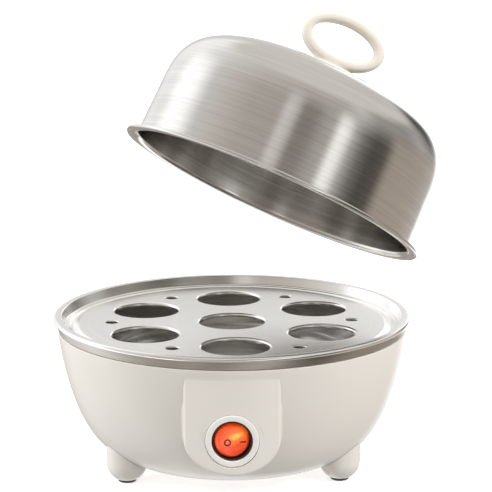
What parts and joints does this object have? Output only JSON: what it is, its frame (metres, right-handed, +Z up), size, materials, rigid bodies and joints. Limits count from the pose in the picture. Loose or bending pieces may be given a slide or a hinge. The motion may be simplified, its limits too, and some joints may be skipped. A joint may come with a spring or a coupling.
{
  "type": "egg cooker",
  "caption": "Round electric egg cooker: cream bowl base with lit rocker switch, steel egg tray and a domed steel lid lifted above it.",
  "frame": {"origin": "centre of the bottom cover's flat underside, on the bowl's axis, 5.1 mm above the feet's pads", "axes": "+Z up along the bowl's axis, -Y is the front with the switch, +X is to the right seen from the front"},
  "size_m": [0.1943, 0.1816, 0.2282],
  "materials": {
    "cream_plastic": "smooth satin-gloss cream",
    "cover_plastic": "fine-grained cream",
    "screw_steel": "zinc plated",
    "pad_rubber": "matte grey",
    "brushed_rim": "brushed round the rim",
    "lid_steel": "fine brushing round the dome",
    "tray_steel": "polished",
    "pan_steel": "polished",
    "silicone": "translucent white",
    "spreader_aluminium": "cast",
    "element_steel": "heat-dulled",
    "zinc_sheet": "zinc plated sheet",
    "ceramic": "unglazed white",
    "black_plastic": "dark brown-black",
    "amber_rocker": "translucent amber, lit from behind",
    "lamp_glass": "glowing neon",
    "brass": "bright",
    "red_lead": "silicone sleeve",
    "blue_lead": "silicone sleeve",
    "green_lead": "silicone sleeve"
  },
  "bodies": {
    "base": {"bowl_housing": "cream_plastic", "bottom_cover": "cover_plastic", "cover_screw_1": "screw_steel", "cover_screw_2": "screw_steel", "cover_screw_3": "screw_steel", "foot_front_right": "cream_plastic", "foot_rear": "cream_plastic", "foot_front_left": "cream_plastic", "foot_screw_front_right": "screw_steel", "foot_screw_rear": "screw_steel", "foot_screw_front_left": "screw_steel", "foot_pad_front_right": "pad_rubber", "foot_pad_rear": "pad_rubber", "foot_pad_front_left": "pad_rubber", "trim_band": "brushed_rim", "heating_pan": "pan_steel", "pan_gasket": "silicone", "heat_spreader": "spreader_aluminium", "heating_element": "element_steel", "element_bracket": "zinc_sheet", "bracket_screw_1": "screw_steel", "bracket_screw_2": "screw_steel", "bracket_screw_3": "screw_steel", "clamp_stud": "screw_steel", "clamp_nut": "screw_steel", "thermostat": "ceramic", "thermostat_clip": "zinc_sheet", "thermal_fuse": "zinc_sheet", "fuse_clip": "zinc_sheet", "switch_bezel": "cream_plastic", "switch_body": "black_plastic", "switch_lamp": "lamp_glass", "switch_terminal_1": "brass", "switch_terminal_2": "brass", "terminal_block": "ceramic", "lead_switch_feed": "red_lead", "lead_thermostat": "red_lead", "lead_element": "red_lead", "lead_fuse": "blue_lead", "lead_return": "blue_lead", "lead_earth": "green_lead", "cord_gland": "black_plastic"},
    "tray": {"egg_tray": "tray_steel"},
    "lid": {"lid_dome": "lid_steel", "lid_handle": "cream_plastic", "lid_handle_gasket": "silicone", "lid_handle_washer": "screw_steel", "lid_handle_screw": "screw_steel"},
    "rocker": {"switch_rocker": "amber_rocker"},
    "contact": {"switch_contact": "brass"}
  },
  "joints": [
    {"name": "tray_lift", "type": "slide", "parent": "base", "child": "tray", "axis": [0, 0, 1], "range_m": [0, 0.04]},
    {"name": "lid_lift", "type": "hinge", "parent": "tray", "child": "lid", "pos_m": [0.10953, 0.07035, 0.0661], "axis": [-0.5346, 0.8367, 0.1186], "range_deg": [-29.7, 12]},
    {"name": "rocker_tilt", "type": "hinge", "parent": "base", "child": "rocker", "pos_m": [0, -0.0872, 0.0329], "axis": [0, 0, 1], "range_deg": [-22, 0]},
    {"name": "contact_tilt", "type": "hinge", "parent": "base", "child": "contact", "pos_m": [0, -0.0722, 0.0329], "axis": [0, 0, 1], "range_deg": [0, 16.1]}
  ],
  "couplings": [
    {"joint": "contact_tilt", "follows": "rocker_tilt", "ratio": -0.7273}
  ]
}
